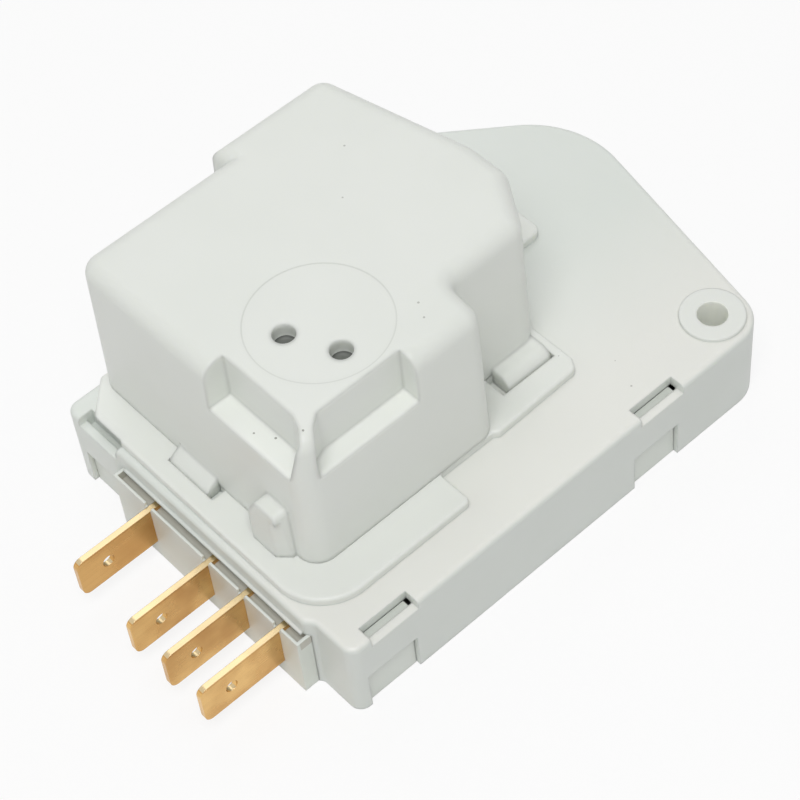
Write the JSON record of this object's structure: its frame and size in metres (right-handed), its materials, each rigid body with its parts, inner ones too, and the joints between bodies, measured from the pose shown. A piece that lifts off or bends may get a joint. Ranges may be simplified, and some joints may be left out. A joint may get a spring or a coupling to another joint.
{
  "type": "defrost timer",
  "caption": "Off-white moulded defrost timer with a tall motor cap, a flat gear housing with a screw ear, and brass push-on tabs along one side",
  "frame": {"origin": "lower end of the screw hole in the housing ear", "axes": "+X along the long side away from the tabs, +Y across from the long side to the back edge, +Z from the underside up to the motor cap"},
  "size_m": [0.0904, 0.0546, 0.036],
  "materials": {
    "off_white_plastic": "satin",
    "off_white_block": "satin",
    "white_cap": "satin",
    "brass": "satin",
    "spring_bronze": "satin",
    "silver_contact": "satin",
    "stator_steel": "satin",
    "pin_steel": "polished",
    "bobbin_plastic": "matte",
    "copper_enamel": "gloss",
    "magnet": "matte",
    "gear_plastic": "matte",
    "cam_plastic": "matte",
    "wire_cover": "matte"
  },
  "bodies": {
    "housing": {"gear_housing": "off_white_plastic", "base_cover": "off_white_block", "motor_cover": "white_cap", "terminal_1": "brass", "terminal_2": "brass", "terminal_3": "brass", "terminal_4": "brass", "heater_rivet": "brass", "common_rivet": "brass", "compressor_rivet": "brass", "heater_blade": "spring_bronze", "common_blade": "spring_bronze", "compressor_blade": "spring_bronze", "heater_contact": "silver_contact", "common_contact": "silver_contact", "compressor_contact": "silver_contact", "stator_cup": "stator_steel", "stator_plate": "stator_steel", "rotor_pin": "pin_steel", "pawl_pin": "pin_steel", "axle_pin_1": "pin_steel", "axle_pin_2": "pin_steel", "axle_pin_3": "pin_steel", "coil_bobbin": "bobbin_plastic", "coil_winding": "copper_enamel", "lead_wire_1": "wire_cover", "lead_wire_2": "wire_cover"},
    "rotor": {"rotor_magnet": "magnet", "rotor_hub": "gear_plastic"},
    "gear_1_body": {"gear_1": "gear_plastic"},
    "gear_2_body": {"gear_2": "gear_plastic"},
    "gear_3_body": {"gear_3": "gear_plastic"},
    "gear_4_body": {"gear_4": "gear_plastic"},
    "gear_5_body": {"gear_5": "gear_plastic"},
    "cam_gear_body": {"cam_gear": "gear_plastic"},
    "cam_body": {"timing_cam": "cam_plastic"},
    "pawl_body": {"no_back_pawl": "gear_plastic"}
  },
  "joints": [
    {"name": "rotor_spin", "type": "hinge", "parent": "housing", "child": "rotor", "pos_m": [-0.0361, 0.02836, 0.014], "axis": [0, 0, 1], "continuous": true},
    {"name": "gear_1_spin", "type": "hinge", "parent": "housing", "child": "gear_1_body", "pos_m": [-0.03075, 0.0356, 0.01], "axis": [0, 0, 1], "continuous": true},
    {"name": "gear_2_spin", "type": "hinge", "parent": "housing", "child": "gear_2_body", "pos_m": [-0.0231, 0.03086, 0.0084], "axis": [0, 0, 1], "continuous": true},
    {"name": "gear_3_spin", "type": "hinge", "parent": "housing", "child": "gear_3_body", "pos_m": [-0.03075, 0.0356, 0.0068], "axis": [0, 0, 1], "continuous": true},
    {"name": "gear_4_spin", "type": "hinge", "parent": "housing", "child": "gear_4_body", "pos_m": [-0.0231, 0.03086, 0.0052], "axis": [0, 0, 1], "continuous": true},
    {"name": "gear_5_spin", "type": "hinge", "parent": "housing", "child": "gear_5_body", "pos_m": [-0.01555, 0.03477, 0.0035], "axis": [0, 0, 1], "continuous": true},
    {"name": "cam_gear_spin", "type": "hinge", "parent": "housing", "child": "cam_gear_body", "pos_m": [-0.0026, 0.03046, 0.0023], "axis": [0, 0, 1], "continuous": true},
    {"name": "cam_advance", "type": "hinge", "parent": "cam_gear_body", "child": "cam_body", "pos_m": [-0.0026, 0.03046, 0.006], "axis": [0, 0, 1], "continuous": true},
    {"name": "pawl_swing", "type": "hinge", "parent": "housing", "child": "pawl_body", "pos_m": [-0.0317, 0.02836, 0.027], "axis": [0, 0, 1], "range_deg": [-12, 0]}
  ],
  "couplings": [
    {"joint": "gear_1_spin", "follows": "rotor_spin", "ratio": -0.125},
    {"joint": "gear_2_spin", "follows": "rotor_spin", "ratio": 0.015625},
    {"joint": "gear_3_spin", "follows": "rotor_spin", "ratio": -0.0019531},
    {"joint": "gear_4_spin", "follows": "rotor_spin", "ratio": 0.00024414},
    {"joint": "gear_5_spin", "follows": "rotor_spin", "ratio": -0.000032552},
    {"joint": "cam_gear_spin", "follows": "rotor_spin", "ratio": 0.0000069444}
  ]
}
